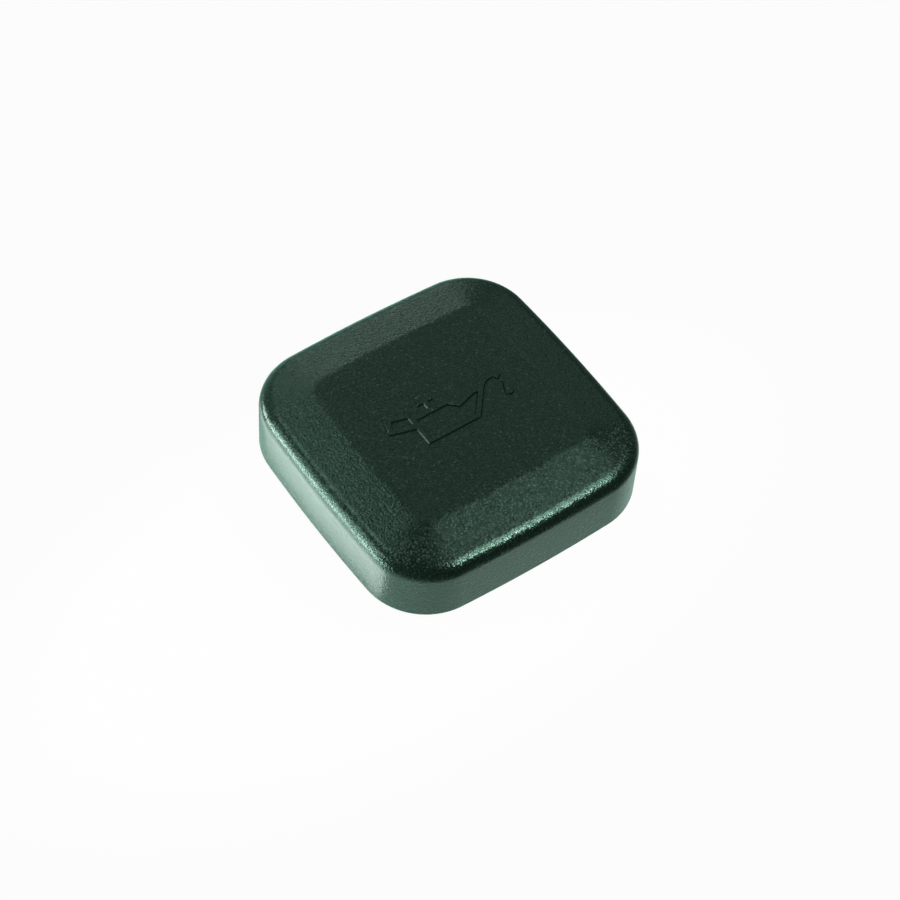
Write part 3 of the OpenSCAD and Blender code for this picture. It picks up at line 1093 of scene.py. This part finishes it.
@dataclass
class Studio:
    """Floor, lamps and camera."""

    floor_z: float = -13.4 * MM
    azimuth: float = -38.53
    elevation: float = 53.42
    roll: float = 4.534
    distance: float = 0.49914
    lens: float = 96.99
    shift: tuple = (4.24 / 900, 8.76 / 900)
    # Centre, stretch and edge of the painted pool of light on the floor, left of the cap.
    light_pool_centre: tuple = (-20.0 * MM, -20.0 * MM, -13.4 * MM)
    squash: tuple = (1.0, 2.0, 1.0)
    light_pool_edge: tuple = (0.070, 0.100)
    paper: tuple = (0.85, 0.85, 0.85, 1.0)
    # Near-black colour of the floor away from the pool: painted shade.
    painted_floor_shade: tuple = (0.05, 0.05, 0.05, 1.0)
    # Green tint of the glow that reflections see: painted reflection.
    painted_reflection_tint: tuple = (0.75, 1.0, 0.88, 1.0)
    seen: float = 0.97
    mirrored: float = 0.47
    room: float = 0.03
    aim_z: float = -5.0 * MM
    lamps: tuple = (
        Lamp("strip_left", (-0.185, 0.085, -0.001), (0.26, 0.021), 0.42, (-0.031, 0.0, -0.001)),
        Lamp("panel_left", (-0.080, 0.020, -0.0129), (0.085, 0.080), 0.068, (-0.080, 0.020, 1.0)),
        Lamp("panel_far", (-0.215, 0.100, -0.0128), (0.18, 0.16), 0.52, (-0.215, 0.100, 1.0)),
        Lamp("rim_left", (-0.872, 0.460, 0.170), (0.20, 0.15), 1.5),
        Lamp("high_left", (-0.82, 0.30, 0.48), (0.42, 0.30), 2.1),
        Lamp("back_left", (-0.235, 0.44, 0.866), (0.25, 0.25), 0.9),
        Lamp("back_mid", (0.12, 0.70, 0.70), (0.30, 0.30), 0.35),
        Lamp("over", (0.37, 0.47, 0.80), (0.40, 0.40), 0.15),
        Lamp("back", (0.38, 0.82, 0.42), (0.30, 0.14), 0.38),
        Lamp("back_right", (0.65, 0.47, 0.61), (0.30, 0.30), 0.13),
        Lamp("right_soft", (0.60, -0.16, 0.78), (0.22, 0.22), 0.35),
        Lamp("top_soft", (0.37, 0.00, 0.93), (0.36, 0.26), 0.16),
        Lamp("top_spark", (0.38, 0.05, 0.93), (0.07, 0.07), 0.25),
        Lamp("front_soft", (0.37, -0.42, 0.83), (0.30, 0.22), 2.3),
        Lamp("front_edge", (0.36, -0.66, 0.66), (0.18, 0.07), 1.4),
        Lamp("front_spark", (0.32, -0.66, 0.68), (0.06, 0.04), 2.1),
    )

    def floor(self) -> None:
        """Makes the white paper that the cap stands on: circles about the axis, closed round a middle point. The
        camera sees it evenly white by its glow; round a spot left of the cap reflections see a green-tinted glow, a
        painted reflection, and the paper's colour fades to near black away from that spot, a painted pool of light.
        """
        ring = np.linspace(0, 2 * math.pi, 96, endpoint=False)
        radius = np.array([0.05, 0.3, 1.0, 4.0])[:, None]
        x, y = radius * np.cos(ring), radius * np.sin(ring)
        points = np.stack([x, y, np.full(x.shape, self.floor_z)], axis=-1)
        index = np.arange(x.size).reshape(x.shape)
        a, b = index[:-1], index[1:]
        quads = np.stack([a, b, np.roll(b, -1, axis=1), np.roll(a, -1, axis=1)], axis=-1).reshape(-1, 4)
        fan = np.stack([index[0], np.roll(index[0], -1), np.full(len(ring), x.size)], axis=1)
        mesh = bpy.data.meshes.new("floor")
        points = np.concatenate([points.reshape(-1, 3), [[0, 0, self.floor_z]]])
        mesh.from_pydata(points.tolist(), [], [*quads.tolist(), *fan.tolist()])
        mesh.update()
        floor = bpy.data.objects.new("floor", mesh)
        bpy.context.scene.collection.objects.link(floor)
        shader = Shader("white_paper")
        rays = shader.node("ShaderNodeLightPath", {}, {}, "Is Camera Ray")
        bounced = rays.beside("Is Glossy Ray") + rays.beside("Is Transmission Ray")
        # The paper fades from white to near black away from the pool: a painted pool of light.
        place = shader.node("ShaderNodeVectorMath", {"operation": "MULTIPLY"}, {0: shader.place(), 1: self.squash})
        away = shader.node("ShaderNodeVectorMath", {"operation": "DISTANCE"}, {0: place, 1: self.light_pool_centre}, "Value")
        off = away.above(*self.light_pool_edge)
        paper = shader.node("ShaderNodeBsdfDiffuse", {}, {"Color": shader.mix(off, self.paper, self.painted_floor_shade)})
        # Reflections near the pool see a green-tinted glow: painted reflection.
        shade = shader.mix(bounced, (1, 1, 1, 1), self.painted_reflection_tint)
        glow = shader.node("ShaderNodeEmission", {}, {"Color": shade, "Strength": 1.0})
        share = rays * self.seen + bounced * (1 - off) * self.mirrored
        mesh.materials.append(shader.finish(shader.node("ShaderNodeMixShader", {}, {0: share, 1: paper, 2: glow})))

    def world(self) -> None:
        """Makes the dim room round the studio."""
        world = bpy.data.worlds.new("room")
        world.use_nodes = True
        back = world.node_tree.nodes["Background"]
        back.inputs["Color"].default_value = (1, 1, 1, 1)
        back.inputs["Strength"].default_value = self.room
        bpy.context.scene.world = world

    def camera(self) -> None:
        """Places the camera as found from the photo: its axes are turned by azimuth, elevation and roll."""
        az, el, roll = (math.radians(v) for v in (self.azimuth, self.elevation, self.roll))
        back = Vector((math.sin(az) * math.cos(el), -math.cos(az) * math.cos(el), math.sin(el)))
        right = Vector((math.cos(az), math.sin(az), 0.0))
        up = back.cross(right)
        x_axis = math.cos(roll) * right + math.sin(roll) * up
        y_axis = -math.sin(roll) * right + math.cos(roll) * up
        data = bpy.data.cameras.new("camera")
        data.lens, data.sensor_width = self.lens, 36.0
        data.shift_x, data.shift_y = self.shift
        data.clip_start, data.clip_end = 0.01, 20.0
        camera = bpy.data.objects.new("camera", data)
        turn = Matrix((x_axis, y_axis, back)).transposed().to_4x4()
        camera.matrix_world = Matrix.Translation(back * self.distance + Vector((0, 0, self.aim_z))) @ turn
        bpy.context.scene.collection.objects.link(camera)
        bpy.context.scene.camera = camera

    def build(self) -> None:
        """Sets up the studio."""
        self.floor()
        self.world()
        for lamp in self.lamps:
            lamp.build()
        self.camera()
        bpy.context.scene.view_settings.view_transform = "Standard"


def main() -> None:
    """Builds the cap and the studio, and logs each piece."""
    logging.basicConfig(level=logging.INFO, format="%(message)s")
    Studio().build()
    for maker in (Cover(), BayonetPlug(), SealRing()):
        made = maker.build()
        log.info("%s: %d faces", made.name, len(made.data.polygons))


if __name__ == "__main__":
    main()
